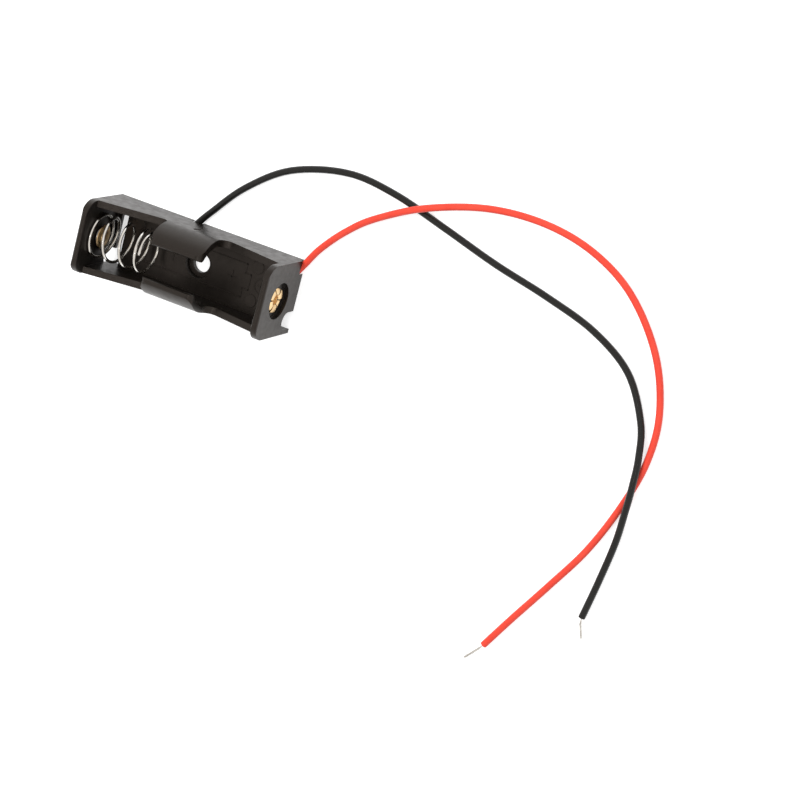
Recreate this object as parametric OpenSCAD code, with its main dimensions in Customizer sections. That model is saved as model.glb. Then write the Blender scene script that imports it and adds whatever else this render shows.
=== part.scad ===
// Holder for one cylindrical cell: a moulded tray with spring clips in its side walls, a coil spring
// at the negative end, a clinched brass contact at each end and two leads that lie free.
// X runs along the tray with the spring at -X, Z points out of its mouth, and Z = 0 is its back.

/* [Cell] */
// Diameter of the cell
cell_d = 10.3; // [9.8:0.1:11]
// Length of the cell
cell_l = 28.5; // [27:0.1:30]
// Room that the pressed spring keeps between its end wall and the cell
spring_room = 7; // [6.5:0.1:8.5]

/* [Tray] */
// Gap between the cell and each side wall at the floor
side_gap = 0.5; // [0.3:0.05:0.8]
// Thickness of a side wall at the floor
side_t = 1.45; // [1.2:0.05:2]
// Thickness of a side wall at the mouth
rim_t = 1.2; // [0.9:0.05:1.4]
// Thickness of a side wall's foot below the floor
foot_t = 0.8; // [0.6:0.05:1.1]
// Thickness of the floor
floor_t = 0.8; // [0.7:0.05:1.2]
// Thickness of the end wall behind the spring
spring_wall_t = 1.2; // [1.1:0.05:1.6]
// Thickness of the end wall round the positive contact's boss
contact_wall_t = 1.2; // [1:0.05:1.6]
// Height of the boss that carries the positive contact, inside its end wall
contact_boss_h = 1.1; // [0.8:0.05:1.4]
// Diameter of the boss that carries the positive contact
contact_boss_d = 7.8; // [7:0.1:8.6]
// Rise of the end walls above the cell
end_rise = 1.65; // [1:0.05:2.5]
// Radius of the end walls' upper corners
corner_r = 3.2; // [2:0.1:4]
// Radius along the outer edge of the end walls
edge_r = 0.6; // [0.3:0.05:0.65]
// Radius along the inner edge of the end walls
inner_edge_r = 0.35; // [0.2:0.05:0.4]

/* [Side walls] */
// Height of the side walls at the spring's end, above the cell's axis
spring_end_rise = 3.5; // [2.5:0.1:4]
// Drop of the side walls beside the clip, spring side, below the cell's axis
spring_dip = 0.3; // [0:0.1:1]
// Drop of the side walls beside the clip, contact side, below the cell's axis
contact_dip = 1.2; // [0.5:0.1:2]
// Height of the side walls at the contact's end, above the cell's axis
contact_end_rise = 1.4; // [0.8:0.1:2]

/* [Clips] */
// Length of a clip along the tray
clip_l = 11.2; // [8:0.2:14]
// Thickness of a clip
clip_t = 1.3; // [1:0.05:1.6]
// Angle that a clip wraps above the cell's axis
clip_angle = 54; // [45:1:58]
// Radius of the clips' free corners
clip_corner_r = 1.2; // [0.6:0.1:2]
// Radius of the blend into the lower wall, contact side
clip_blend_r = 2; // [1:0.1:2.5]
// Radius of the blend into the lower wall, spring side
clip_foot_r = 1; // [0.5:0.1:2]

/* [Openings] */
// Bore for the mounting screw
screw_d = 3.5; // [3.2:0.1:4]
// Width of the seat for the screw's head
seat_d = 5.1; // [4.6:0.1:5.6]
// Depth of the seat for the screw's head
seat_h = 1.15; // [0.8:0.05:1.3]
// Wall of the boss round the mounting screw
boss_t = 1.8; // [1.3:0.1:2.2]
// Width of the tool window through the floor
window_w = 1.35; // [1:0.05:2]
// Width of the floor strip between the window and the spring's wall
strip_w = 1; // [0.8:0.1:1.4]
// Width of the arched wire gate in each end wall
gate_w = 3.5; // [3:0.1:4]
// Height of the arched wire gate
gate_h = 3.85; // [3:0.05:4.2]
// Diameter of the recess round each clinch
recess_d = 7; // [6:0.1:8]
// Diameter of the ejector pads on the floor
pad_d = 2.5; // [1.5:0.1:3]
// Thickness of the ejector pads
pad_t = 0.12; // [0.05:0.01:0.2]

/* [Contacts] */
// Diameter of a contact's head
head_d = 4.6; // [4:0.1:5]
// Thickness of the head's flange
head_t = 0.35; // [0.25:0.05:0.5]
// Diameter of the button on the head
button_d = 2.4; // [1.8:0.1:3]
// Height of the button on the head
button_h = 0.65; // [0.5:0.05:0.8]
// Diameter of the barrel through the wall
barrel_d = 2.4; // [2:0.1:2.6]
// Thickness of the barrel's wall
barrel_t = 0.3; // [0.2:0.05:0.4]
// Material held between the head and the clinch
grip = 1.4; // [1.3:0.05:1.6]
// Width across the clinched petals
petal_d = 5.2; // [4.4:0.1:5.8]
// Height of the clinched petals
petal_h = 0.4; // [0.3:0.05:0.4]
// Number of clinched petals
petals = 6; // [4:1:8]

/* [Spring] */
// Diameter of the spring's wire
wire_d = 0.6; // [0.5:0.05:0.7]
// Outer diameter of the spring at its base
spring_base_d = 8.8; // [7.5:0.1:9.2]
// Outer diameter of the spring at its free end
spring_tip_d = 8.2; // [7:0.1:9]
// Length of the spring when no cell presses it
spring_free_l = 11.2; // [9:0.1:12.5]
// Turns between the flat base coil and the tip
spring_turns = 4; // [3.5:0.5:5]

/* [Leads] */
// Outer diameter of a lead
lead_d = 1.3; // [1.1:0.05:1.5]
// Diameter of a lead's bare strands
strand_d = 0.45; // [0.35:0.05:0.55]

/* [Hidden] */
$fn = 48;
eps = 0.01;
// Running clearance of a barrel in its bore
bore_gap = 0.03;
// Clearance round a lead or its strands
lead_gap = 0.1;
// Clearance of the cell above the floor
cell_gap = 0.05;

cavity_h = lead_d + lead_gap;
floor_z = cavity_h + floor_t;
axis_z = floor_z + cell_gap + cell_d / 2;
end_h = axis_z + cell_d / 2 + end_rise;
inner_w = cell_d + 2 * side_gap;
body_w = inner_w + 2 * side_t;
cavity_w = body_w - 2 * foot_t;
contact_h = head_t + button_h;
body_l = spring_wall_t + spring_room + cell_l + contact_h + contact_boss_h + contact_wall_t;
spring_wall_x = spring_wall_t - body_l / 2;
contact_wall_x = body_l / 2 - contact_wall_t;
clip_x = clip_l / 2;
clip_r = body_w / 2;
spring_hold = wire_d + 2 * eps;
spring_recess = spring_wall_t - (grip - spring_hold);
contact_x = contact_wall_x - contact_boss_h;
contact_recess = contact_wall_t + contact_boss_h - grip;
barrel_r = barrel_d / 2;
groove_w = strand_d + lead_gap;
gate_y = gate_w / 2 - cavity_w / 2;

// The near ends of the leads, and the ways they leave the cavity
black_exit = [-2.9, body_w / 2];
black_exit_angle = 52;
red_exit = [body_l / 2, 6.1];
red_exit_angle = 60;
exit_w = lead_d + 3 * lead_gap;

black_route = [
    [-17.3, 4.9, 0.7], [-12.6, 5.1, 0.7], [-7.8, 5.1, 0.7], [-4.2, 5.6, 0.7], [-1, 9.4, 0.7],
    [4.8, 16.2, 0.7], [13, 22.2, 0.7], [24, 25.2, 0.7], [34, 24.4, 0.7], [45, 21.5, 0.7],
    [56, 18.4, 0.7], [67, 15.9, 0.7], [77, 12.9, 0.7], [85, 8, 0.7], [89.8, 0.5, 0.9],
    [91.5, -5.5, 1.7], [92, -10.5, 2.2], [92, -15.5, 1.9], [91.6, -22, 0.9], [90.6, -30, 0.7],
    [89.5, -37.3, 0.7]];
red_route = [
    [17.4, 1.8, 0.7], [20.2, 6.4, 0.7], [22.5, 10.2, 0.7], [26.4, 14.7, 0.7], [31.5, 18.9, 1], [41, 24.1, 2.2],
    [52, 27.5, 1], [63, 28.2, 0.7], [73, 26.2, 0.7], [81.7, 21.3, 0.7], [88.9, 12.7, 0.7],
    [92.6, 3, 0.7], [92.9, -6, 0.7], [90.8, -15, 0.7], [87, -25, 0.7], [82, -34, 0.7],
    [77, -42.5, 0.7], [73.2, -49.2, 0.7]];
black_tip_end = [90.4, -41.1, 0.4];
red_tip_end = [70.3, -52.9, 0.5];
route_steps = 2;
lead_sides = 8;

spring_base_flat = 0.5;
spring_ease = 0.4;
spring_hook_turns = 0.8;
spring_hook_reach = 0.4;
spring_steps = 20;
closed_pitch = wire_d + 0.1;
spring_pitch = (spring_free_l - wire_d - closed_pitch) / (spring_turns - 1 - spring_ease / 2);
spring_tip_angle = 90;
spring_x = spring_wall_x + wire_d / 2 + eps;

// ---- Shared forms ----

// Extrudes a YZ outline along X from x0 to x1.
module along_x(x0, x1)
    translate([x0, 0, 0]) rotate([90, 0, 90]) linear_extrude(x1 - x0) children();

// Extrudes an XZ outline along Y from y0 to y1.
module along_y(y0, y1)
    translate([0, y1, 0]) rotate([90, 0, 0]) linear_extrude(y1 - y0) children();

function unit(v) = v / norm(v);

// A point on the smooth curve through points, at the fraction t of span i.
function curve_point(points, i, t) =
    let (last = len(points) - 1,
         b = points[i],
         c = points[i + 1],
         a = i > 0 ? points[i - 1] : 2 * b - c,
         d = i + 2 <= last ? points[i + 2] : 2 * c - b)
    0.5 * (2 * b + (c - a) * t + (2 * a - 5 * b + 4 * c - d) * t * t
           + (3 * b - a - 3 * c + d) * t * t * t);

// The smooth curve through points, with steps points to a span.
function curve(points, steps) = [
    for (i = [0 : len(points) - 2], s = [0 : steps - 1]) curve_point(points, i, s / steps),
    points[len(points) - 1]];

// The direction of a path at its point i.
function path_direction(path, i) =
    unit(path[min(i + 1, len(path) - 1)] - path[max(i - 1, 0)]);

// One ring of a swept tube, set square to the path and turned from the given up vector.
function ring(path, i, r, sides, up) =
    let (along = path_direction(path, i),
         side = unit(cross(up, along)),
         top = cross(along, side))
    [for (k = [0 : sides - 1])
        path[i] + r * (cos(360 * k / sides) * side + sin(360 * k / sides) * top)];

// A tube swept along a path as one closed solid.
module swept_tube(path, r, sides, up) {
    last = len(path) - 1;
    points = [for (i = [0 : last]) each ring(path, i, r, sides, up)];
    walls = [for (i = [0 : last - 1], k = [0 : sides - 1])
        let (n = (k + 1) % sides)
        [i * sides + k, (i + 1) * sides + k, (i + 1) * sides + n, i * sides + n]];
    first_cap = [for (k = [0 : sides - 1]) k];
    last_cap = [for (k = [sides - 1 : -1 : 0]) last * sides + k];
    polyhedron(points, concat([first_cap], walls, [last_cap]), convexity = 8);
}

// ---- Tray ----

// Both side walls across the tray: a thin foot, then a wall that tapers to its rim.
module wall_section(top) {
    rim_y = body_w / 2 - side_t + (side_t - rim_t) * (top - floor_z) / (end_h - floor_z);
    for (s = [-1, 1])
        polygon([[s * cavity_w / 2, 0], [s * body_w / 2, 0], [s * body_w / 2, top], [s * rim_y, top],
                 [s * inner_w / 2, floor_z], [s * inner_w / 2, cavity_h], [s * cavity_w / 2, cavity_h]]);
}

// Side view of the low stretches of the walls, which dip toward the clips.
module low_wall_outline()
    polygon([[-body_l / 2, 0], [body_l / 2, 0], [body_l / 2, axis_z + contact_end_rise],
             [contact_wall_x, axis_z + contact_end_rise], [clip_x + clip_blend_r, axis_z - contact_dip],
             [-clip_x - clip_foot_r, axis_z - spring_dip], [spring_wall_x, axis_z + spring_end_rise],
             [-body_l / 2, axis_z + spring_end_rise]]);

module side_walls()
    intersection() {
        along_x(-body_l / 2, body_l / 2) wall_section(end_h);
        along_y(-body_w, body_w) low_wall_outline();
    }

// Both clips across the tray: arcs about the cell's axis that stand on the walls.
module clip_section() {
    wall_section(axis_z + eps);
    mid_r = clip_r - clip_t / 2;
    reach = 2 * clip_r;
    translate([0, axis_z]) {
        intersection() {
            difference() {
                circle(r = clip_r);
                circle(r = clip_r - clip_t);
            }
            for (s = [-1, 1])
                polygon([[0, 0], [s * reach, 0], [s * reach * cos(clip_angle), reach * sin(clip_angle)]]);
        }
        for (s = [-1, 1])
            translate([s * mid_r * cos(clip_angle), mid_r * sin(clip_angle)]) circle(d = clip_t);
    }
}

// A concave blend in side view that fills the corner at [x, z] on the side s.
module blend_outline(x, z, r, s)
    difference() {
        translate([s > 0 ? x - eps : x - r, z - r]) square([r + eps, 2 * r]);
        translate([x + s * r, z + r]) circle(r = r);
    }

// Side view of a clip: an upright tab with round free corners and a blend at each foot.
module clip_outline() {
    clip_top = axis_z + clip_r;
    tip_z = axis_z + clip_r * sin(clip_angle);
    translate([-clip_x, 0]) square([clip_l, tip_z - clip_corner_r]);
    translate([clip_corner_r - clip_x, 0]) square([clip_l - 2 * clip_corner_r, clip_top]);
    for (s = [-1, 1])
        translate([s * (clip_x - clip_corner_r), tip_z - clip_corner_r]) circle(r = clip_corner_r);
    blend_outline(clip_x, axis_z - contact_dip, clip_blend_r, 1);
    blend_outline(-clip_x, axis_z - spring_dip, clip_foot_r, -1);
}

module clips()
    intersection() {
        along_x(-clip_l, clip_l) clip_section();
        along_y(-body_w, body_w) clip_outline();
    }

// Front view of an end wall, with its two upper corners round.
module end_outline() {
    translate([-body_w / 2, 0]) square([body_w, end_h - corner_r]);
    translate([corner_r - body_w / 2, 0]) square([body_w - 2 * corner_r, end_h]);
    for (s = [-1, 1])
        translate([s * (body_w / 2 - corner_r), end_h - corner_r]) circle(r = corner_r);
}

// Side view of one end wall, with both its upper edges round.
module edge_outline(x0, x1, r0, r1) {
    translate([x0, 0]) square([x1 - x0, end_h - max(r0, r1)]);
    translate([x0 + r0, 0]) square([x1 - x0 - r0 - r1, end_h]);
    for (c = [[x0 + r0, r0], [x1 - r1, r1]]) {
        translate([c[0], end_h - c[1]]) circle(r = c[1]);
        translate([c[0] - c[1], end_h / 2]) square([2 * c[1], end_h / 2 - c[1]]);
    }
}

module end_walls()
    intersection() {
        union() {
            along_x(-body_l / 2, spring_wall_x) end_outline();
            along_x(contact_wall_x, body_l / 2) end_outline();
        }
        along_y(-body_w, body_w) {
            edge_outline(-body_l / 2, spring_wall_x, edge_r, inner_edge_r);
            edge_outline(contact_wall_x, body_l / 2, inner_edge_r, edge_r);
        }
    }

// Round boss inside the end wall, which carries the positive contact.
module contact_boss()
    translate([contact_x, 0, axis_z]) rotate([0, 90, 0])
        cylinder(h = contact_boss_h + eps, d = contact_boss_d);

// The floor, with the boss that carries the mounting screw.
module floor_plate() {
    translate([spring_wall_x - eps, -body_w / 2 + eps, cavity_h])
        cube([contact_wall_x - spring_wall_x + 2 * eps, body_w - 2 * eps, floor_t]);
    cylinder(h = cavity_h + eps, d = screw_d + 2 * boss_t);
}

// Low round pads where the ejector pins stood.
module ejector_pads()
    for (x = [-13.9, 12], s = [-1, 1])
        translate([x, s * cell_d * 0.315, floor_z - eps]) cylinder(h = pad_t + eps, d = pad_d);

// Screw bore, with a flat seat for the screw's head whose wall is drafted toward the floor.
module screw_hole() {
    translate([0, 0, -eps]) cylinder(h = floor_z + 1, d = screw_d);
    translate([0, 0, floor_z - seat_h]) cylinder(h = 2 * seat_h, d1 = seat_d, d2 = seat_d + 1);
}

// Tool window across the floor, and the open corner beside it at the wire gate.
module floor_window() {
    translate([spring_wall_x + strip_w, -inner_w / 2, 0])
        cube([window_w, inner_w, floor_z + eps]);
    translate([spring_wall_x, -inner_w / 2, 0])
        cube([strip_w + eps, inner_w / 2 - cavity_w / 2 + gate_w, floor_z + eps]);
}

// Arched gate through both end walls, beside the -Y wall's foot.
module wire_gates()
    along_x(-body_l, body_l)
        translate([gate_y, 0]) {
            translate([-gate_w / 2, -1]) square([gate_w, gate_h - gate_w / 2 + 1]);
            translate([0, gate_h - gate_w / 2]) circle(d = gate_w);
        }

// Slot in the back edge where a lead leaves the cavity.
module lead_exit(place, angle, reach)
    translate([place[0], place[1], -1])
        rotate(angle)
            translate([-reach, -exit_w / 2, 0]) cube([reach + body_w, exit_w, cavity_h + 1]);

// Bore and outer recess for a contact whose seat is at x, in wall_t of plastic.
module contact_seat(x, s, wall_t, recess_t)
    translate([x, 0, axis_z]) rotate([0, 90 * s, 0]) {
        translate([0, 0, -eps]) cylinder(h = wall_t + 2 * eps, r = barrel_r + bore_gap);
        translate([0, 0, wall_t - recess_t]) cylinder(h = recess_t + 1, d = recess_d);
    }

// Groove that holds a lead's strands against the wall whose inner face is at x.
module strand_groove(x, s)
    translate([s > 0 ? x - eps : x - groove_w, -groove_w / 2, -1])
        cube([groove_w + eps, groove_w, axis_z - barrel_r + 1]);

module tray() color([0.16, 0.155, 0.15])
    difference() {
        union() {
            side_walls();
            clips();
            end_walls();
            contact_boss();
            floor_plate();
            ejector_pads();
        }
        screw_hole();
        floor_window();
        intersection() {
            wire_gates();
            union() {
                translate([-body_l, -body_w, -1]) cube([body_l + spring_wall_x + eps, 2 * body_w, 2 * end_h]);
                translate([contact_wall_x - eps, -body_w, -1]) cube([body_l, 2 * body_w, 2 * end_h]);
            }
        }
        lead_exit(black_exit, black_exit_angle, 2 * foot_t);
        lead_exit(red_exit, red_exit_angle, 3 * contact_wall_t);
        contact_seat(spring_wall_x, -1, spring_wall_t, spring_recess);
        contact_seat(contact_x, 1, contact_wall_t + contact_boss_h, contact_recess);
        strand_groove(spring_wall_x, -1);
        strand_groove(contact_x, 1);
    }

// ---- Contacts ----

// A star-clinched brass contact: button head up, barrel and splayed petals down.
module contact() {
    barrel_in = barrel_r - barrel_t;
    clinch_z = -grip - petal_h;
    slot_w = 0.35;
    cap_h = button_h / 2;
    cap_ball_r = (button_d * button_d / 4 + cap_h * cap_h) / (2 * cap_h);
    difference() {
        union() {
            cylinder(h = head_t, d = head_d);
            cylinder(h = head_t + 0.12, d1 = button_d + 1.1, d2 = button_d + 0.8);
            rotate_extrude()
                intersection() {
                    translate([0, contact_h - cap_ball_r]) circle(r = cap_ball_r);
                    square([button_d / 2, contact_h]);
                }
            translate([0, 0, clinch_z + eps]) cylinder(h = grip + petal_h, r = barrel_r);
            rotate_extrude()
                polygon([[barrel_in, -grip], [petal_d / 2 - 0.1, -grip], [petal_d / 2, -grip - 0.15],
                         [petal_d / 2 - 0.25, -grip - 0.3], [barrel_r + 0.35, clinch_z],
                         [barrel_in, clinch_z]]);
        }
        translate([0, 0, clinch_z - eps]) cylinder(h = grip + petal_h, r = barrel_in);
        for (i = [0 : petals - 1])
            rotate(360 * i / petals)
                translate([barrel_in - eps, -slot_w / 2, clinch_z - eps])
                    cube([petal_d, slot_w, petal_h]);
    }
}

module negative_contact() color([0.72, 0.52, 0.28])
    translate([spring_wall_x + spring_hold, 0, axis_z]) rotate([0, 90, 0]) contact();

module positive_contact() color([0.72, 0.52, 0.28])
    translate([contact_x, 0, axis_z]) rotate([0, -90, 0]) contact();

// ---- Spring ----

// Rise of the coil above its base after u turns: it starts flat, and its last turn closes.
function coil_rise(u) =
    let (close_from = spring_turns - 1.25,
         close_to = spring_turns - 0.75,
         loss = spring_pitch - closed_pitch,
         open_rise = u < spring_ease
             ? spring_pitch * u * u / (2 * spring_ease)
             : spring_pitch * (u - spring_ease / 2),
         closing = u < close_from ? 0
             : u < close_to ? loss * (u - close_from) * (u - close_from) / (2 * (close_to - close_from))
             : loss * ((close_to - close_from) / 2 + u - close_to))
    u <= 0 ? 0 : open_rise - closing;

// Radius of the wire's centre line: a hook round the barrel, a run outward, then the coil.
function coil_radius(u) =
    let (hook_r = barrel_r + wire_d / 2 + 2 * bore_gap,
         base_r = (spring_base_d - wire_d) / 2,
         tip_r = (spring_tip_d - wire_d) / 2,
         reach = (u + spring_base_flat + spring_hook_reach) / spring_hook_reach)
    u >= 0 ? base_r + (tip_r - base_r) * u / spring_turns
    : u >= -spring_base_flat ? base_r
    : reach <= 0 ? hook_r
    : hook_r + (base_r - hook_r) * reach * reach * (3 - 2 * reach);

function coil_point(u) =
    let (angle = spring_tip_angle + 360 * (u - spring_turns))
    [spring_x + coil_rise(u), coil_radius(u) * cos(angle), axis_z + coil_radius(u) * sin(angle)];

module spring() color([0.8, 0.8, 0.78]) {
    start = -spring_base_flat - spring_hook_reach - spring_hook_turns;
    count = round((spring_turns - start) * spring_steps);
    path = [for (i = [0 : count]) coil_point(start + (spring_turns - start) * i / count)];
    swept_tube(path, wire_d / 2, 8, [1, 0, 0]);
}

// ---- Leads ----

module black_lead() color([0.1, 0.1, 0.1])
    swept_tube(curve(black_route, route_steps), lead_d / 2, lead_sides, [0, 0, 1]);

module red_lead() color([0.85, 0.12, 0.1])
    swept_tube(curve(red_route, route_steps), lead_d / 2, lead_sides, [0, 0, 1]);

// The bare strands beyond the near end of a lead: along the wall whose inner face is at wall_x,
// then up its groove to the contact's barrel.
module near_strands(route, wall_x, s) {
    start = route[0];
    out = start + unit(start - route[1]) * 0.4;
    lane_x = wall_x - s * (strand_d / 2 + lead_gap);
    groove_x = wall_x + s * groove_w / 2;
    path = [start, out, [lane_x, out[1] - 0.6, start[2]], [lane_x, 0.5, start[2]],
            [(lane_x + groove_x) / 2, 0, start[2] + 0.2], [groove_x, 0, start[2] + 0.6],
            [groove_x, 0, axis_z - barrel_r - lead_gap]];
    swept_tube(path, strand_d / 2, 8, [1, -1, 0]);
}

module negative_strands() color([0.75, 0.73, 0.7]) near_strands(black_route, spring_wall_x, -1);

module positive_strands() color([0.75, 0.73, 0.7]) near_strands(red_route, contact_x, 1);

// The bare end beyond the insulation of a route: straight on, then aside.
module bare_tip(route, end) {
    last = route[len(route) - 1];
    out = last + unit(last - route[len(route) - 2]) * 0.5;
    swept_tube([last, out, (out + end) / 2, end], strand_d / 2, 8, [0, 0, 1]);
}

module black_tip() color([0.75, 0.73, 0.7]) bare_tip(black_route, black_tip_end);

module red_tip() color([0.75, 0.73, 0.7]) bare_tip(red_route, red_tip_end);

tray();
spring();
negative_contact();
positive_contact();
negative_strands();
positive_strands();
black_lead();
red_lead();
black_tip();
red_tip();
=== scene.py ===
"""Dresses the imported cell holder: plastic tray, coil spring, clinched contacts and two free leads."""

import logging
import math
from dataclasses import dataclass, field
from enum import Enum
from typing import Sequence

import bmesh
import bpy
from mathutils import Matrix, Vector


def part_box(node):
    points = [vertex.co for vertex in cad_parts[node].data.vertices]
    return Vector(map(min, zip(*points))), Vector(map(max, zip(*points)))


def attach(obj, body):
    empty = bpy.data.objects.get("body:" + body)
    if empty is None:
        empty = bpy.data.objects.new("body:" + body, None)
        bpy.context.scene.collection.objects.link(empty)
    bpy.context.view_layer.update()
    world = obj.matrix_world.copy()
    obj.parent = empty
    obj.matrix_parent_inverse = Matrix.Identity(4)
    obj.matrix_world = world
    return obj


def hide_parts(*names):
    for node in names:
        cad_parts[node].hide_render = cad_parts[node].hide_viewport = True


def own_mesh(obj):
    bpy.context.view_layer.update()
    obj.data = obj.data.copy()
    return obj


MM = 0.001
SOFT_EDGE = 0.03 * MM
MERGE = 1e-7
LOG = logging.getLogger("cell_holder")
Point = tuple[float, float, float]


class Node(Enum):
    """The solids that model.glb brings in."""

    TRAY = "tray"
    SPRING = "spring"
    NEGATIVE_CONTACT = "negative_contact"
    POSITIVE_CONTACT = "positive_contact"
    NEGATIVE_STRANDS = "negative_strands"
    POSITIVE_STRANDS = "positive_strands"
    BLACK_LEAD = "black_lead"
    RED_LEAD = "red_lead"
    BLACK_TIP = "black_tip"
    RED_TIP = "red_tip"


# ---- Finishes ----


class Graph:
    """A small helper that adds nodes to one material and links them."""

    def __init__(self, name: str) -> None:
        """Starts an empty material.

        Args:
            name: The material's name.
        """
        self.material = bpy.data.materials.new(name)
        self.material.use_nodes = True
        self.tree = self.material.node_tree
        self.shader = self.tree.nodes["Principled BSDF"]
        self.place = self.add("ShaderNodeTexCoord").outputs["Object"]

    def add(self, kind: str, **values: object) -> bpy.types.Node:
        """Adds a node and sets its attributes.

        Args:
            kind: The node's type name.
            values: Attributes to set on it.

        Returns:
            The new node.
        """
        made = self.tree.nodes.new(kind)
        for key, value in values.items():
            setattr(made, key, value)
        return made

    def link(self, source: bpy.types.NodeSocket, target: bpy.types.NodeSocket) -> None:
        """Joins two sockets."""
        self.tree.links.new(source, target)

    def noise(self, scale: float, detail: float = 3.0) -> bpy.types.NodeSocket:
        """Adds a noise pattern on object coordinates.

        Args:
            scale: Repeats per metre.
            detail: Octaves of the noise.

        Returns:
            The pattern's factor.
        """
        made = self.add("ShaderNodeTexNoise")
        made.inputs["Scale"].default_value = scale
        made.inputs["Detail"].default_value = detail
        self.link(self.place, made.inputs["Vector"])
        return made.outputs["Fac"]

    def spread(self, value: bpy.types.NodeSocket, low: float, high: float) -> bpy.types.NodeSocket:
        """Maps a pattern's middle range onto low to high.

        Args:
            value: The pattern.
            low: Result at 0.3.
            high: Result at 0.7.

        Returns:
            The mapped value.
        """
        made = self.add("ShaderNodeMapRange")
        made.inputs["From Min"].default_value = 0.3
        made.inputs["From Max"].default_value = 0.7
        made.inputs["To Min"].default_value = low
        made.inputs["To Max"].default_value = high
        self.link(value, made.inputs["Value"])
        return made.outputs["Result"]

    def blend(self, first: Point, second: Point, share: bpy.types.NodeSocket) -> bpy.types.NodeSocket:
        """Mixes two colours by a pattern.

        Args:
            first: Colour at 0.
            second: Colour at 1.
            share: The pattern.

        Returns:
            The mixed colour.
        """
        made = self.add("ShaderNodeMix", data_type="RGBA")
        made.inputs["A"].default_value = (*first, 1)
        made.inputs["B"].default_value = (*second, 1)
        self.link(share, made.inputs["Factor"])
        return made.outputs["Result"]

    def bump(
        self, height: bpy.types.NodeSocket, depth: float, under: bpy.types.NodeSocket | None = None
    ) -> bpy.types.NodeSocket:
        """Turns a pattern into a relief.

        Args:
            height: The pattern.
            depth: Height of the relief in metres.
            under: A normal that the relief is laid on.

        Returns:
            The normal.
        """
        made = self.add("ShaderNodeBump")
        made.inputs["Strength"].default_value = 1.0
        made.inputs["Distance"].default_value = depth
        self.link(height, made.inputs["Height"])
        if under is not None:
            self.link(under, made.inputs["Normal"])
        return made.outputs["Normal"]


@dataclass(frozen=True)
class MouldedPlastic:
    """Black moulded plastic: a fine satin skin with a soft mottle and slightly round edges."""

    name: str
    colour: Point = (0.0075, 0.0062, 0.0052)
    roughness: float = 0.34
    edge: float = 0.12 * MM

    def material(self) -> bpy.types.Material:
        """Builds the material.

        Returns:
            The finished material.
        """
        g = Graph(self.name)
        g.shader.inputs["Base Color"].default_value = (*self.colour, 1)
        g.shader.inputs["Specular Tint"].default_value = (1.0, 0.88, 0.8, 1)
        g.shader.inputs["Specular IOR Level"].default_value = 0.36
        mottle = g.spread(g.noise(900, 4), self.roughness - 0.05, self.roughness + 0.07)
        g.link(mottle, g.shader.inputs["Roughness"])
        edges = g.add("ShaderNodeBevel", samples=4)
        edges.inputs["Radius"].default_value = self.edge
        skin = g.bump(g.noise(5200, 2), 0.004 * MM, edges.outputs["Normal"])
        flow = g.bump(g.noise(190, 2), 0.02 * MM, skin)
        g.link(flow, g.shader.inputs["Normal"])
        return g.material


@dataclass(frozen=True)
class PlatedMetal:
    """Bright plated metal with fine drawing marks."""

    name: str
    colour: Point
    tarnish: Point
    roughness: float

    def material(self) -> bpy.types.Material:
        """Builds the material.

        Returns:
            The finished material.
        """
        g = Graph(self.name)
        g.shader.inputs["Metallic"].default_value = 1.0
        colour = g.blend(self.colour, self.tarnish, g.spread(g.noise(700, 3), 0.0, 1.0))
        g.link(colour, g.shader.inputs["Base Color"])
        grain = g.spread(g.noise(2600, 3), self.roughness * 0.8, self.roughness * 1.3)
        g.link(grain, g.shader.inputs["Roughness"])
        g.link(g.bump(g.noise(6000, 2), 0.003 * MM), g.shader.inputs["Normal"])
        return g.material


@dataclass(frozen=True)
class Sleeve:
    """Soft extruded insulation with a faint sheen and long shallow waves."""

    name: str
    colour: Point
    worn: Point
    roughness: float
    gloss: float

    def material(self) -> bpy.types.Material:
        """Builds the material.

        Returns:
            The finished material.
        """
        g = Graph(self.name)
        colour = g.blend(self.colour, self.worn, g.spread(g.noise(260, 3), 0.0, 1.0))
        g.link(colour, g.shader.inputs["Base Color"])
        g.shader.inputs["Specular IOR Level"].default_value = self.gloss
        sheen = g.spread(g.noise(1500, 2), self.roughness - 0.06, self.roughness + 0.08)
        g.link(sheen, g.shader.inputs["Roughness"])
        fine = g.bump(g.noise(7000, 2), 0.003 * MM)
        g.link(g.bump(g.noise(330, 1), 0.03 * MM, fine), g.shader.inputs["Normal"])
        return g.material


# ---- Shared making ----


def metres(points: Sequence[Point]) -> list[Vector]:
    """Turns points in millimetres into vectors in metres."""
    return [Vector(p) * MM for p in points]


def dress(obj: bpy.types.Object, material: bpy.types.Material) -> None:
    """Gives an object one material.

    Args:
        obj: The object.
        material: Its finish.
    """
    if obj.material_slots:
        for held in obj.material_slots:
            held.material = material
    else:
        obj.data.materials.append(material)


def keep_mesh(name: str, shape: bmesh.types.BMesh, smooth: bool = True) -> bpy.types.Object:
    """Makes an object from a bmesh, with its normals facing outwards.

    Args:
        name: The object's name.
        shape: The bmesh, which is freed.
        smooth: Whether its faces are shaded smooth.

    Returns:
        The new object.
    """
    bmesh.ops.recalc_face_normals(shape, faces=shape.faces)
    for face in shape.faces:
        face.smooth = smooth
    mesh = bpy.data.meshes.new(name)
    shape.to_mesh(mesh)
    shape.free()
    made = bpy.data.objects.new(name, mesh)
    bpy.context.scene.collection.objects.link(made)
    return made


def settle(obj: bpy.types.Object, slot: str, *solids: Node) -> None:
    """Lets a piece ride on the holder and hides the solids that it stands for.

    Args:
        obj: The piece.
        slot: Not used.
        solids: The solids that it replaces, if any.
    """
    if solids:
        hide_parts(*(solid.value for solid in solids))
    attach(obj, "holder")
    LOG.info("%s: built", obj.name)


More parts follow.
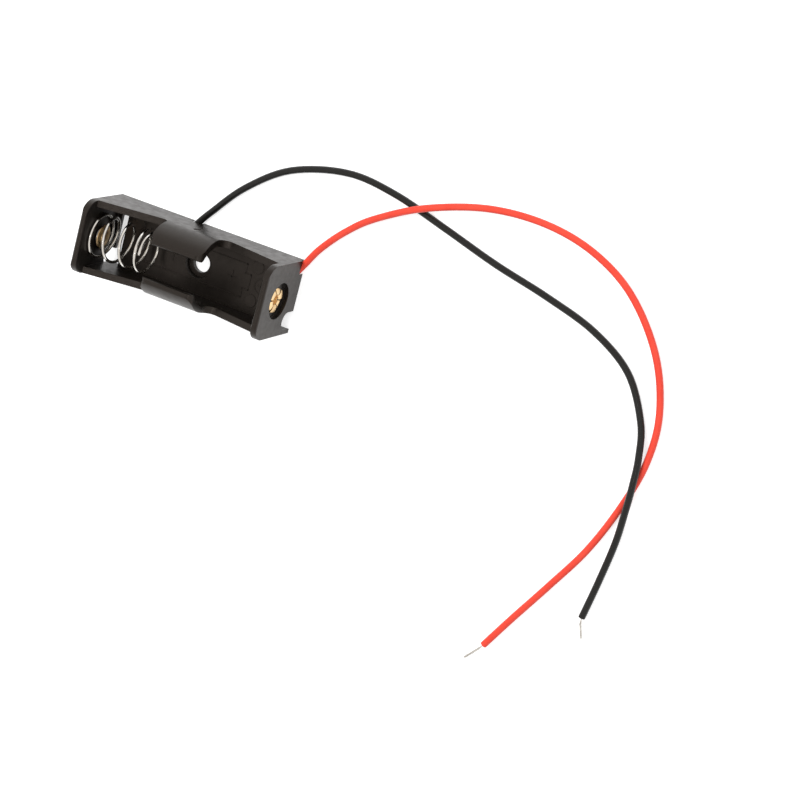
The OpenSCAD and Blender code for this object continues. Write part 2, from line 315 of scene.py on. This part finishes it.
def soften(obj: bpy.types.Object, sharp: float) -> None:
    """Rounds an object's sharp edges a little.

    Args:
        obj: The object.
        sharp: Smallest angle of the edges that are rounded, in degrees.
    """
    edges = obj.modifiers.new("soft_edges", "BEVEL")
    edges.width = SOFT_EDGE
    edges.segments = 2
    edges.limit_method = "ANGLE"
    edges.angle_limit = math.radians(sharp)


def wire_curve(
    name: str, runs: Sequence[Sequence[Vector]], radius: float, sides: int = 6
) -> bpy.types.Object:
    """Makes round wires along smooth runs of points, as one curve object.

    Args:
        name: The object's name.
        runs: The points that each wire passes through.
        radius: The wires' radius.
        sides: Segments to a quarter of the wire's circle.

    Returns:
        The curve object.
    """
    data = bpy.data.curves.new(name, "CURVE")
    data.dimensions = "3D"
    data.bevel_depth = radius
    data.bevel_resolution = sides
    data.resolution_u = 8
    data.use_fill_caps = True
    for points in runs:
        last = len(points) - 1
        spline = data.splines.new("BEZIER")
        spline.bezier_points.add(last)
        for i, knot in enumerate(spline.bezier_points):
            before = points[i - 1] if i > 0 else 2 * points[i] - points[i + 1]
            after = points[i + 1] if i < last else 2 * points[i] - points[i - 1]
            reach = (after - before) / 6
            knot.handle_left_type = knot.handle_right_type = "FREE"
            knot.co = points[i]
            knot.handle_left = points[i] - reach
            knot.handle_right = points[i] + reach
    made = bpy.data.objects.new(name, data)
    bpy.context.scene.collection.objects.link(made)
    return made


def as_mesh(obj: bpy.types.Object) -> bpy.types.Object:
    """Turns a curve object into a mesh object of the same name.

    Args:
        obj: The curve object, which is removed.

    Returns:
        The mesh object.
    """
    name = obj.name
    bpy.context.view_layer.update()
    mesh = bpy.data.meshes.new_from_object(obj.evaluated_get(bpy.context.evaluated_depsgraph_get()))
    bpy.data.objects.remove(obj)
    shape = bmesh.new()
    shape.from_mesh(mesh)
    bpy.data.meshes.remove(mesh)
    bmesh.ops.remove_doubles(shape, verts=shape.verts, dist=MERGE)
    return keep_mesh(name, shape)


# ---- The studio ----


@dataclass
class Studio:
    """Camera, soft lamps, white world and pale floor."""

    eye: Point = (208.265, 114.912, 429.048)
    right: Point = (0.87846903, 0.24892791, -0.40783215)
    down: Point = (0.33258434, -0.93140639, 0.14788436)
    ahead: Point = (-0.34304493, -0.26555041, -0.9010012)
    lens: float = 117.57
    aim: Point = (0.03, 0, 0)
    mirrored_tint: Point = (1.0, 0.955, 0.915)

    def camera(self) -> None:
        """Sets up the camera."""
        data = bpy.data.cameras.new("camera")
        data.lens = self.lens
        data.sensor_width = 36
        data.clip_start = 0.01
        data.clip_end = 20
        made = bpy.data.objects.new("camera", data)
        turn = Matrix((self.right, [-v for v in self.down], [-v for v in self.ahead])).transposed()
        made.matrix_world = Matrix.Translation(Vector(self.eye) * MM) @ turn.to_4x4()
        bpy.context.scene.collection.objects.link(made)
        bpy.context.scene.camera = made

    def lamp(self, name: str, place: Point, size: float, power: float, mirrored: bool) -> None:
        """Adds one soft square lamp.

        Args:
            name: The lamp's name.
            place: Where it stands, in metres.
            size: Its side in metres.
            power: Its power in watts.
            mirrored: Whether glossy surfaces show it.
        """
        data = bpy.data.lights.new(name, "AREA")
        data.shape = "SQUARE"
        data.size = size
        data.energy = power
        made = bpy.data.objects.new(name, data)
        made.location = place
        made.visible_glossy = mirrored
        made.rotation_euler = (Vector(self.aim) - Vector(place)).to_track_quat("-Z", "Y").to_euler()
        bpy.context.scene.collection.objects.link(made)

    def seen_or(self, tree: bpy.types.NodeTree, seen: float, other: float) -> bpy.types.NodeSocket:
        """A strength that is one value for what the eye and mirrors see, and another for the light.

        Args:
            tree: The node tree.
            seen: Value for camera, glossy and transmission rays.
            other: Value for all other rays.

        Returns:
            The value's socket.
        """
        path = tree.nodes.new("ShaderNodeLightPath")
        total = path.outputs["Is Camera Ray"]
        for ray in ("Is Glossy Ray", "Is Transmission Ray"):
            more = tree.nodes.new("ShaderNodeMath")
            more.operation = "MAXIMUM"
            tree.links.new(total, more.inputs[0])
            tree.links.new(path.outputs[ray], more.inputs[1])
            total = more.outputs[0]
        made = tree.nodes.new("ShaderNodeMapRange")
        made.inputs["To Min"].default_value = other
        made.inputs["To Max"].default_value = seen
        tree.links.new(total, made.inputs["Value"])
        return made.outputs["Result"]

    def world(self) -> None:
        """Makes a world that is white to the eye, warmer in mirrors and softer as a light."""
        made = bpy.data.worlds.new("studio")
        bpy.context.scene.world = made
        made.use_nodes = True
        tree = made.node_tree
        shade = tree.nodes["Background"]
        tint = tree.nodes.new("ShaderNodeMix")
        tint.data_type = "RGBA"
        tint.inputs["A"].default_value = (1, 1, 1, 1)
        tint.inputs["B"].default_value = (*self.mirrored_tint, 1)
        path = tree.nodes.new("ShaderNodeLightPath")
        tree.links.new(path.outputs["Is Glossy Ray"], tint.inputs["Factor"])
        tree.links.new(tint.outputs["Result"], shade.inputs["Color"])
        tree.links.new(self.seen_or(tree, 1.0, 0.55), shade.inputs["Strength"])

    def floor(self) -> None:
        """Makes the pale floor, which keeps the shadow and is white where it is lit."""
        shape = bmesh.new()
        bmesh.ops.create_grid(shape, x_segments=1, y_segments=1, size=3)
        made = keep_mesh("floor", shape, False)
        material = bpy.data.materials.new("floor")
        material.use_nodes = True
        tree = material.node_tree
        tree.nodes.clear()
        matt = tree.nodes.new("ShaderNodeBsdfDiffuse")
        matt.inputs["Color"].default_value = (0.7, 0.7, 0.7, 1)
        glow = tree.nodes.new("ShaderNodeEmission")
        tree.links.new(self.seen_or(tree, 0.62, 0.0), glow.inputs["Strength"])
        both = tree.nodes.new("ShaderNodeAddShader")
        out = tree.nodes.new("ShaderNodeOutputMaterial")
        tree.links.new(matt.outputs[0], both.inputs[0])
        tree.links.new(glow.outputs[0], both.inputs[1])
        tree.links.new(both.outputs[0], out.inputs["Surface"])
        dress(made, material)

    def build(self) -> None:
        """Builds the whole studio."""
        bpy.context.scene.view_settings.view_transform = "Standard"
        self.camera()
        self.world()
        self.floor()
        self.lamp("key", (-0.35, 0.3, 0.9), 0.7, 8.0, False)
        self.lamp("fill", (0.7, 0.5, 0.6), 0.6, 3.0, False)
        self.lamp("glint", (0.2, -0.1, 0.9), 0.12, 0.35, True)


# ---- The leads ----


@dataclass
class Lead:
    """One insulated lead, with its bare twisted end."""

    name: str
    node: Node
    tip_node: Node
    route: list[Point]
    tip_end: Point
    finish: Sleeve
    slot: str
    outer: float = 1.3
    strand: float = 0.16
    strands: int = 7
    bury: float = 0.3
    bend: float = 0.6
    bundle_r: float = 0.15
    twist: float = 0.9
    fray: float = 0.35
    steps: int = 6

    def length(self) -> float:
        """Measures the route.

        Returns:
            The length of the smooth line through the route, in metres.
        """
        points = metres(self.route)
        total = 0.0
        for i in range(len(points) - 1):
            before = points[i - 1] if i > 0 else 2 * points[i] - points[i + 1]
            after = points[i + 2] if i + 2 < len(points) else 2 * points[i + 1] - points[i]
            b, c = points[i], points[i + 1]
            held = b
            for k in range(1, 9):
                t = k / 8
                here = 0.5 * (
                    2 * b
                    + (c - before) * t
                    + (2 * before - 5 * b + 4 * c - after) * t * t
                    + (3 * b - before - 3 * c + after) * t * t * t
                )
                total += (here - held).length
                held = here
        return total

    def tip(self, metal: bpy.types.Material) -> bpy.types.Object:
        """Makes the bare end: fine strands, twisted a little and fused at their ends.

        Args:
            metal: The strands' finish.

        Returns:
            The tip as one mesh.
        """
        last, end = Vector(self.route[-1]) * MM, Vector(self.tip_end) * MM
        out = (last - Vector(self.route[-2]) * MM).normalized()
        start = last - out * self.bury * MM
        bend = last + out * self.bend * MM
        along = (end - bend).normalized()
        side = along.cross(Vector((0, 0, 1))).normalized()
        top = side.cross(along)
        runs = []
        for k in range(self.strands):
            ring = 0.0 if k == 0 else self.bundle_r * MM
            run = [start, last]
            for j in range(1, self.steps + 1):
                angle = math.tau * k / (self.strands - 1) + self.twist * j
                open_out = 1.0 + self.fray * math.sin(j + k) * (j / self.steps)
                middle = bend.lerp(end, j / self.steps)
                lift = ring * open_out * (math.cos(angle) * side + math.sin(angle) * top)
                run.append(middle + lift)
            runs.append(run)
        made = as_mesh(wire_curve(self.tip_node.value + "_strands", runs, self.strand / 2 * MM, 2))
        dress(made, metal)
        settle(made, "tinned_strands", self.tip_node)
        return made

    def build(self, metal: bpy.types.Material) -> None:
        """Args:
            metal: The finish of its bare end.
        """
        made = wire_curve(self.name, [metres(self.route)], self.outer / 2 * MM)
        dress(made, self.finish.material())
        settle(made, self.slot, self.node)
        self.tip(metal)
        LOG.info("%s: %.1f mm long", self.name, self.length() / MM)


# ---- The spring ----


@dataclass
class Spring:
    """The coil spring, hooked under the contact's head and wound outwards to a free coil."""

    wire: float = 0.6
    wall_x: float = -18.8
    axis_z: float = 7.4
    base_r: float = 4.1
    tip_r: float = 3.8
    hook_r: float = 1.56
    turns: float = 4.0
    flat: float = 0.5
    reach: float = 0.4
    hook: float = 0.8
    ease: float = 0.4
    free: float = 11.2
    pressed: float = 5.2
    clear: float = 0.01
    tip_angle: float = 90.0
    steps: int = 24

    def rise(self, u: float) -> float:
        """Height of the coil above its base.

        Args:
            u: Turns from the flat base coil.

        Returns:
            The height in millimetres.
        """
        close = self.wire + 0.1
        pitch = (self.free - self.wire - close) / (self.turns - 1 - self.ease / 2)
        start, stop = self.turns - 1.25, self.turns - 0.75
        if u <= 0:
            return 0.0
        if u < self.ease:
            return pitch * u * u / (2 * self.ease)
        height = pitch * (u - self.ease / 2)
        if u > stop:
            height -= (pitch - close) * ((stop - start) / 2 + u - stop)
        elif u > start:
            height -= (pitch - close) * (u - start) ** 2 / (2 * (stop - start))
        return height

    def radius(self, u: float) -> float:
        """Radius of the wire's centre line.

        Args:
            u: Turns from the flat base coil.

        Returns:
            The radius in millimetres.
        """
        if u >= 0:
            return self.base_r + (self.tip_r - self.base_r) * u / self.turns
        if u >= -self.flat:
            return self.base_r
        share = (u + self.flat + self.reach) / self.reach
        if share <= 0:
            return self.hook_r
        return self.hook_r + (self.base_r - self.hook_r) * share * share * (3 - 2 * share)

    def build(self, metal: bpy.types.Material) -> None:
        """Builds the spring with its base coil next to its wall.

        Args:
            metal: Its finish.
        """
        first = -self.flat - self.reach - self.hook
        count = round((self.turns - first) * self.steps)
        base_x = self.wall_x + self.wire / 2 + self.clear
        points = []
        for i in range(count + 1):
            u = first + (self.turns - first) * i / count
            angle = math.radians(self.tip_angle + 360 * (u - self.turns))
            r = self.radius(u)
            points.append((base_x + self.rise(u), r * math.cos(angle), self.axis_z + r * math.sin(angle)))
        curve = wire_curve("coil_spring", [metres(points)], self.wire / 2 * MM, 5)
        curve.data.resolution_u = 2
        made = as_mesh(curve)
        dress(made, metal)
        settle(made, "spring_wire", Node.SPRING)
        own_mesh(made)


# ---- The contacts ----


@dataclass
class Contact:
    """A clinched brass contact: a head with a button, a barrel and petals that are splayed unevenly."""

    name: str
    node: Node
    facing: int
    height: float = 1.0
    head_r: float = 2.3
    head_t: float = 0.35
    button_r: float = 1.2
    barrel_r: float = 1.2
    bore_r: float = 0.9
    grip: float = 1.4
    reach: list[float] = field(default_factory=lambda: [1.0, 0.86, 0.95, 0.8, 0.97, 0.88])
    lift: list[float] = field(default_factory=lambda: [1.8, 5.4, 0.0, 7.2, 2.4, 4.8])
    tear: float = 11.0
    first_tear: float = 8.0
    root_r: float = 1.3
    sharp: float = 40.0

    def spun(
        self, shape: bmesh.types.BMesh, outline: Sequence[tuple[float, float]], turn: float, steps: int
    ) -> list[bmesh.types.BMVert]:
        """Adds an outline of radius and height, turned about the contact's axis.

        Args:
            shape: The bmesh to add to.
            outline: Points of radius and height in millimetres. A part turn is given a closed outline.
            turn: Angle to turn it through, in degrees.
            steps: Steps of the turn.

        Returns:
            The new vertices.
        """
        before = set(shape.verts)
        points = [shape.verts.new((r * MM, 0, z * MM)) for r, z in outline]
        full = turn >= 360
        if full:
            geom = points + [shape.edges.new(pair) for pair in zip(points, points[1:])]
        else:
            face = shape.faces.new(points)
            geom = points + list(face.edges) + [face]
        bmesh.ops.spin(
            shape,
            geom=geom,
            cent=(0, 0, 0),
            axis=(0, 0, 1),
            angle=math.radians(turn),
            steps=steps,
            use_merge=full,
        )
        return [v for v in shape.verts if v not in before]

    def head(self, shape: bmesh.types.BMesh) -> None:
        """Adds the head and the barrel."""
        top, cap = self.height, (self.height - self.head_t) / 2
        outline = [(0, top)]
        for share in (0.3, 0.55, 0.75, 0.9):
            outline.append((self.button_r * share, top - cap * share * share))
        outline += [
            (self.button_r * 0.98, top - cap * 1.02),
            (self.button_r, top - cap * 1.25),
            (self.button_r + 0.02, self.head_t + 0.16),
            (self.button_r + 0.12, self.head_t + 0.11),
            (self.button_r + 0.42, self.head_t + 0.09),
            (self.button_r + 0.52, self.head_t + 0.01),
            (self.head_r - 0.14, self.head_t - 0.02),
            (self.head_r - 0.04, self.head_t - 0.07),
            (self.head_r, self.head_t / 2),
            (self.head_r - 0.04, 0.03),
            (self.head_r - 0.12, 0),
            (self.barrel_r, 0),
            (self.barrel_r, -self.grip),
            (self.bore_r, -self.grip),
            (self.bore_r, -0.1),
            (0, -0.1),
        ]
        self.spun(shape, outline, 360, 48)

    def petals(self, shape: bmesh.types.BMesh) -> None:
        """Adds the splayed petals, each a little different."""
        low = -self.grip
        outline = [
            (self.bore_r, low + 0.1),
            (self.bore_r + 0.03, low - 0.2),
            (1.12, low - 0.36),
            (1.5, low - 0.4),
            (1.95, low - 0.33),
            (2.35, low - 0.2),
            (2.56, low - 0.08),
            (2.5, low - 0.02),
            (2.2, low - 0.03),
            (1.8, low - 0.12),
            (1.45, low - 0.18),
            (1.26, low - 0.1),
            (self.barrel_r, low + 0.1),
        ]
        share = 360 / len(self.reach)
        for i, (reach, lift) in enumerate(zip(self.reach, self.lift)):
            scaled = [
                (self.bore_r + (r - self.bore_r) * (reach if r > self.root_r else 1), z) for r, z in outline
            ]
            verts = self.spun(shape, scaled, share - self.tear, 8)
            middle = math.radians((share - self.tear) / 2)
            tangent = Vector((-math.sin(middle), math.cos(middle), 0))
            root = Vector((self.barrel_r * math.cos(middle), self.barrel_r * math.sin(middle), low)) * MM
            tilt = Matrix.Rotation(math.radians(lift), 3, tangent)
            bmesh.ops.rotate(shape, verts=verts, cent=root, matrix=tilt)
            turn = Matrix.Rotation(math.radians(share * i + self.first_tear), 3, "Z")
            bmesh.ops.rotate(shape, verts=verts, cent=(0, 0, 0), matrix=turn)

    def build(self, metal: bpy.types.Material) -> None:
        """Builds the contact in its wall.

        Args:
            metal: Its finish.
        """
        low, high = (Vector(corner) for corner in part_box(self.node.value))
        middle = (low + high) / 2
        front = low.x if self.facing < 0 else high.x
        shape = bmesh.new()
        self.head(shape)
        self.petals(shape)
        bmesh.ops.remove_doubles(shape, verts=shape.verts, dist=MERGE)
        place = Matrix.Translation((front - self.facing * self.height * MM, middle.y, middle.z))
        turn = Matrix.Rotation(math.radians(90 * self.facing), 4, "Y")
        bmesh.ops.transform(shape, matrix=place @ turn, verts=shape.verts)
        made = keep_mesh(self.name, shape)
        soften(made, self.sharp)
        dress(made, metal)
        settle(made, "contact_metal", self.node)


# ---- The marks on the floor ----


@dataclass
class FloorMarks:
    """Thin raised marks on the tray's floor: the outline of a cell and signs for its two ends."""

    floor_z: float = 2.2
    height: float = 0.09
    width: float = 0.24
    half_w: float = 3.2
    start_x: float = -11.2
    end_x: float = 9.8
    nub_x: float = 11.0
    nub_half: float = 1.45
    seat_r: float = 3.3
    seat_gap: float = 0.3
    plus_x: float = 7.2
    minus_x: float = -5.4
    sign_half: float = 1.0
    pole_x: float = 13.5
    pole_r: float = 1.4
    pole_sign_half: float = 0.7
    sharp: float = 30.0

    def rib(self, shape: bmesh.types.BMesh, a: tuple[float, float], b: tuple[float, float]) -> None:
        """Adds a straight rib between two points.

        Args:
            shape: The bmesh to add to.
            a: Its start.
            b: Its end.
        """
        run = Vector((b[0] - a[0], b[1] - a[1], 0))
        size = Matrix.Diagonal(((run.length + self.width) * MM, self.width * MM, 2 * self.height * MM, 1))
        turn = Matrix.Rotation(math.atan2(run.y, run.x), 4, "Z")
        middle = Vector(((a[0] + b[0]) / 2, (a[1] + b[1]) / 2, self.floor_z)) * MM
        bmesh.ops.create_cube(shape, size=1, matrix=Matrix.Translation(middle) @ turn @ size)

    def plus(self, shape: bmesh.types.BMesh, x: float, half: float) -> None:
        """Adds a plus sign of two ribs.

        Args:
            shape: The bmesh to add to.
            x: Its middle along the tray.
            half: Half the length of its arms.
        """
        self.rib(shape, (x - half, 0), (x + half, 0))
        self.rib(shape, (x, -half), (x, half))

    def ring(self, shape: bmesh.types.BMesh, x: float, r: float) -> None:
        """Adds a round rib.

        Args:
            shape: The bmesh to add to.
            x: Its middle along the tray.
            r: Its radius.
        """
        w, h = self.width / 2, self.height
        corners = [(r - w, -h), (r + w, -h), (r + w, h), (r - w, h)]
        points = [shape.verts.new(((x + a) * MM, 0, (self.floor_z + b) * MM)) for a, b in corners]
        face = shape.faces.new(points)
        bmesh.ops.spin(
            shape,
            geom=points + list(face.edges),
            cent=(x * MM, 0, 0),
            axis=(0, 0, 1),
            angle=math.tau,
            steps=40,
            use_merge=True,
        )
        shape.faces.remove(face)

    def build(self, plastic: bpy.types.Material) -> None:
        """Builds the marks on the floor.

        Args:
            plastic: The tray's finish.
        """
        shape = bmesh.new()
        gap = math.sqrt(self.seat_r**2 - self.half_w**2) + self.seat_gap
        for side in (-1, 1):
            y, nub_y = side * self.half_w, side * self.nub_half
            self.rib(shape, (self.start_x, y), (-gap, y))
            self.rib(shape, (gap, y), (self.end_x, y))
            self.rib(shape, (self.end_x, y), (self.end_x, nub_y))
            self.rib(shape, (self.end_x, nub_y), (self.nub_x, nub_y))
        self.rib(shape, (self.nub_x, -self.nub_half), (self.nub_x, self.nub_half))
        self.rib(shape, (self.start_x, -self.half_w), (self.start_x, self.half_w))
        self.plus(shape, self.plus_x, self.sign_half)
        self.rib(shape, (self.minus_x, -self.sign_half), (self.minus_x, self.sign_half))
        self.ring(shape, self.pole_x, self.pole_r)
        self.plus(shape, self.pole_x, self.pole_sign_half)
        made = keep_mesh("floor_marks", shape, False)
        soften(made, self.sharp)
        dress(made, plastic)
        settle(made, "tray_plastic")


# ---- The tray and what stays as it is ----


@dataclass
class Tray:
    """The moulded tray, the strands in its grooves, and the scar that its gate left."""

    scar_z: float = 5.9
    scar_tilt: float = 62.0
    scar_sunk: float = 0.02
    scar_half: Point = (1.0, 0.16, 0.2)
    scar_uneven: float = 0.12

    def gate_scar(self, plastic: bpy.types.Material) -> None:
        """Adds the low torn scar of the mould's gate on the far clip.

        Args:
            plastic: The tray's finish.
        """
        wall_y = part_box(Node.TRAY.value)[1][1]
        shape = bmesh.new()
        bmesh.ops.create_icosphere(shape, subdivisions=3, radius=1)
        for vert in shape.verts:
            wave = math.sin(7 * vert.co.x + 5 * vert.co.z) * math.cos(9 * vert.co.z)
            vert.co *= 1 + self.scar_uneven * wave
        place = Matrix.Translation((0, wall_y - self.scar_sunk * MM, self.scar_z * MM))
        turn = Matrix.Rotation(math.radians(self.scar_tilt), 4, "Y")
        size = Matrix.Diagonal((*(half * MM for half in self.scar_half), 1))
        bmesh.ops.transform(shape, matrix=place @ turn @ size, verts=shape.verts)
        made = keep_mesh("gate_scar", shape)
        dress(made, plastic)
        settle(made, "tray_plastic")

    def build(self, plastic: bpy.types.Material, tinned: bpy.types.Material) -> None:
        """Dresses the solids that stay.

        Args:
            plastic: The tray's finish.
            tinned: The strands' finish.
        """
        finishes = {Node.TRAY: plastic, Node.NEGATIVE_STRANDS: tinned, Node.POSITIVE_STRANDS: tinned}
        for node, material in finishes.items():
            dress(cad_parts[node.value], material)
            LOG.info("%s: dressed", node.value)
        self.gate_scar(plastic)


BLACK_ROUTE: list[Point] = [
    (-17.3, 4.9, 0.7), (-12.6, 5.1, 0.7), (-7.8, 5.1, 0.7), (-4.2, 5.6, 0.7), (-1, 9.4, 0.7),
    (4.8, 16.2, 0.7), (13, 22.2, 0.7), (24, 25.2, 0.7), (34, 24.4, 0.7), (45, 21.5, 0.7),
    (56, 18.4, 0.7), (67, 15.9, 0.7), (77, 12.9, 0.7), (85, 8, 0.7), (89.8, 0.5, 0.9),
    (91.5, -5.5, 1.7), (92, -10.5, 2.2), (92, -15.5, 1.9), (91.6, -22, 0.9), (90.6, -30, 0.7),
    (89.5, -37.3, 0.7),
]
RED_ROUTE: list[Point] = [
    (17.4, 1.8, 0.7), (20.2, 6.4, 0.7), (22.5, 10.2, 0.7), (26.4, 14.7, 0.7), (31.5, 18.9, 1), (41, 24.1, 2.2),
    (52, 27.5, 1), (63, 28.2, 0.7), (73, 26.2, 0.7), (81.7, 21.3, 0.7), (88.9, 12.7, 0.7),
    (92.6, 3, 0.7), (92.9, -6, 0.7), (90.8, -15, 0.7), (87, -25, 0.7), (82, -34, 0.7),
    (77, -42.5, 0.7), (73.2, -49.2, 0.7),
]

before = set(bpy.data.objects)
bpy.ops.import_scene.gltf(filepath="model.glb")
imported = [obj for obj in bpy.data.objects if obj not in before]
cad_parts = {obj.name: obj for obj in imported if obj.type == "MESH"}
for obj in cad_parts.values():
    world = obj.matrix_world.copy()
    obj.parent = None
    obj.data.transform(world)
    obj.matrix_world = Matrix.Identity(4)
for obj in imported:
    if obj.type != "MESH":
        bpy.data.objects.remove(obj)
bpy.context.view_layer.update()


def main() -> None:
    """Builds the studio, the leads, the spring, the contacts and the tray."""
    logging.basicConfig(level=logging.INFO)
    Studio().build()
    tinned = PlatedMetal("tinned_copper", (0.72, 0.71, 0.68), (0.55, 0.53, 0.5), 0.28).material()
    nickel = PlatedMetal("nickel_plate", (0.76, 0.75, 0.72), (0.62, 0.6, 0.56), 0.16).material()
    brass = PlatedMetal("brass", (0.86, 0.64, 0.36), (0.72, 0.5, 0.25), 0.34).material()
    plastic = MouldedPlastic("moulded_black").material()
    black = Sleeve("black_sleeve", (0.006, 0.006, 0.0055), (0.009, 0.009, 0.0085), 0.3, 0.3)
    red = Sleeve("red_sleeve", (0.82, 0.07, 0.04), (0.74, 0.055, 0.032), 0.42, 0.3)
    leads = (
        Lead(
            "black_wire",
            Node.BLACK_LEAD,
            Node.BLACK_TIP,
            BLACK_ROUTE,
            (90.4, -41.1, 0.4),
            black,
            "black_insulation",
        ),
        Lead("red_wire", Node.RED_LEAD, Node.RED_TIP, RED_ROUTE, (70.3, -52.9, 0.5), red, "red_insulation"),
    )
    for lead in leads:
        lead.build(tinned)
    Spring().build(nickel)
    Contact("spring_contact", Node.NEGATIVE_CONTACT, 1).build(brass)
    Contact("plus_contact", Node.POSITIVE_CONTACT, -1, lift=[6.0, 1.2, 8.4, 0.0, 4.2, 6.6]).build(brass)
    Tray().build(plastic, tinned)
    FloorMarks().build(plastic)


if __name__ == "__main__":
    main()
